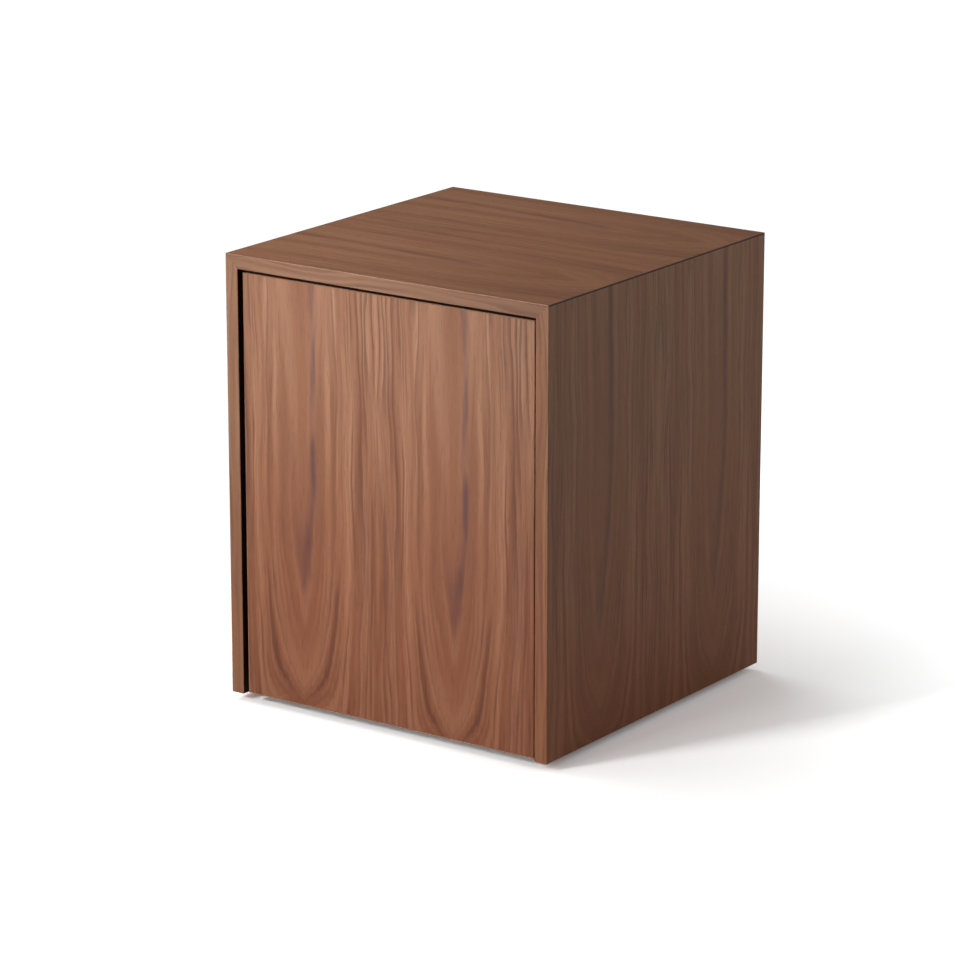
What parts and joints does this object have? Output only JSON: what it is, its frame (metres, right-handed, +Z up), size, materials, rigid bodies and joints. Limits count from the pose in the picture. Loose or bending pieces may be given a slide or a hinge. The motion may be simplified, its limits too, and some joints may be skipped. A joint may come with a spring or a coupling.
{
  "type": "storage cube",
  "caption": "Free-standing cube cabinet with mitred veneered case, one flush handle-less door on concealed hinges and a loose inner shelf.",
  "frame": {"origin": "centre of the footprint, on the floor", "axes": "+X to the right seen from the front, +Y to the back (the door faces -Y), +Z up"},
  "size_m": [0.4, 0.4, 0.48],
  "materials": {
    "walnut_door": "satin clear-lacquered walnut veneer, figure upright, two slip-matched leaves",
    "walnut_veneer": "satin clear-lacquered walnut veneer",
    "walnut_edging": "solid walnut edging strip, grain along its length, arrises eased",
    "beech": "bare beech",
    "steel": "zinc-plated steel",
    "zinc_alloy": "satin zinc alloy die casting",
    "ferrite": "sintered ferrite magnet, matt dark grey",
    "brown_plastic": "dark brown moulded plastic",
    "black_nylon": "black nylon",
    "grey_rubber": "soft grey buffer dot"
  },
  "bodies": {
    "cabinet": {"left_side_panel": "walnut_veneer", "right_side_panel": "walnut_veneer", "top_panel": "walnut_veneer", "bottom_panel": "walnut_veneer", "back_panel": "walnut_veneer", "shelf": "walnut_veneer", "left_front_edging": "walnut_edging", "right_front_edging": "walnut_edging", "top_front_edging": "walnut_edging", "bottom_front_edging": "walnut_edging", "shelf_front_edging": "walnut_edging", "mitre_spline_left": "beech", "mitre_spline_right": "beech", "bottom_dowel_left_front": "beech", "bottom_dowel_left_middle": "beech", "bottom_dowel_left_rear": "beech", "bottom_dowel_right_front": "beech", "bottom_dowel_right_middle": "beech", "bottom_dowel_right_rear": "beech", "back_screw_left_upper": "steel", "back_screw_left_lower": "steel", "back_screw_right_upper": "steel", "back_screw_right_lower": "steel", "back_screw_top": "steel", "back_screw_bottom": "steel", "shelf_pin_left_front": "steel", "shelf_pin_left_rear": "steel", "shelf_pin_right_front": "steel", "shelf_pin_right_rear": "steel", "glide_screw_front_left": "steel", "glide_screw_front_right": "steel", "glide_screw_rear_left": "steel", "glide_screw_rear_right": "steel", "catch_screw_left": "steel", "catch_screw_right": "steel", "glide_front_left": "black_nylon", "glide_front_right": "black_nylon", "glide_rear_left": "black_nylon", "glide_rear_right": "black_nylon", "catch_body": "brown_plastic", "catch_magnet": "ferrite", "door_bumper_left": "grey_rubber", "door_bumper_right": "grey_rubber", "upper_hinge_case_barrel": "zinc_alloy", "lower_hinge_case_barrel": "zinc_alloy"},
    "door": {"door_panel": "walnut_door", "door_edging_pull_side": "walnut_edging", "door_edging_hinge_side": "walnut_edging", "door_edging_top": "walnut_edging", "door_edging_bottom": "walnut_edging", "catch_strike_plate": "steel", "catch_strike_screw": "steel", "upper_hinge_door_barrel": "zinc_alloy", "lower_hinge_door_barrel": "zinc_alloy"},
    "upper_hinge_link_body": {"upper_hinge_link": "zinc_alloy"},
    "lower_hinge_link_body": {"lower_hinge_link": "zinc_alloy"}
  },
  "joints": [
    {"name": "door_swing", "type": "hinge", "parent": "cabinet", "child": "door", "pos_m": [0.1845, -0.2, 0.23675], "axis": [0, 0, 1], "range_deg": [0, 95]},
    {"name": "upper_hinge_link_turn", "type": "hinge", "parent": "cabinet", "child": "upper_hinge_link_body", "pos_m": [0.1845, -0.2, 0.3875], "axis": [0, 0, 1], "range_deg": [0, 47.5]},
    {"name": "lower_hinge_link_turn", "type": "hinge", "parent": "cabinet", "child": "lower_hinge_link_body", "pos_m": [0.1845, -0.2, 0.086], "axis": [0, 0, 1], "range_deg": [0, 47.5]}
  ],
  "couplings": [
    {"joint": "upper_hinge_link_turn", "follows": "door_swing", "ratio": 0.5},
    {"joint": "lower_hinge_link_turn", "follows": "door_swing", "ratio": 0.5}
  ]
}
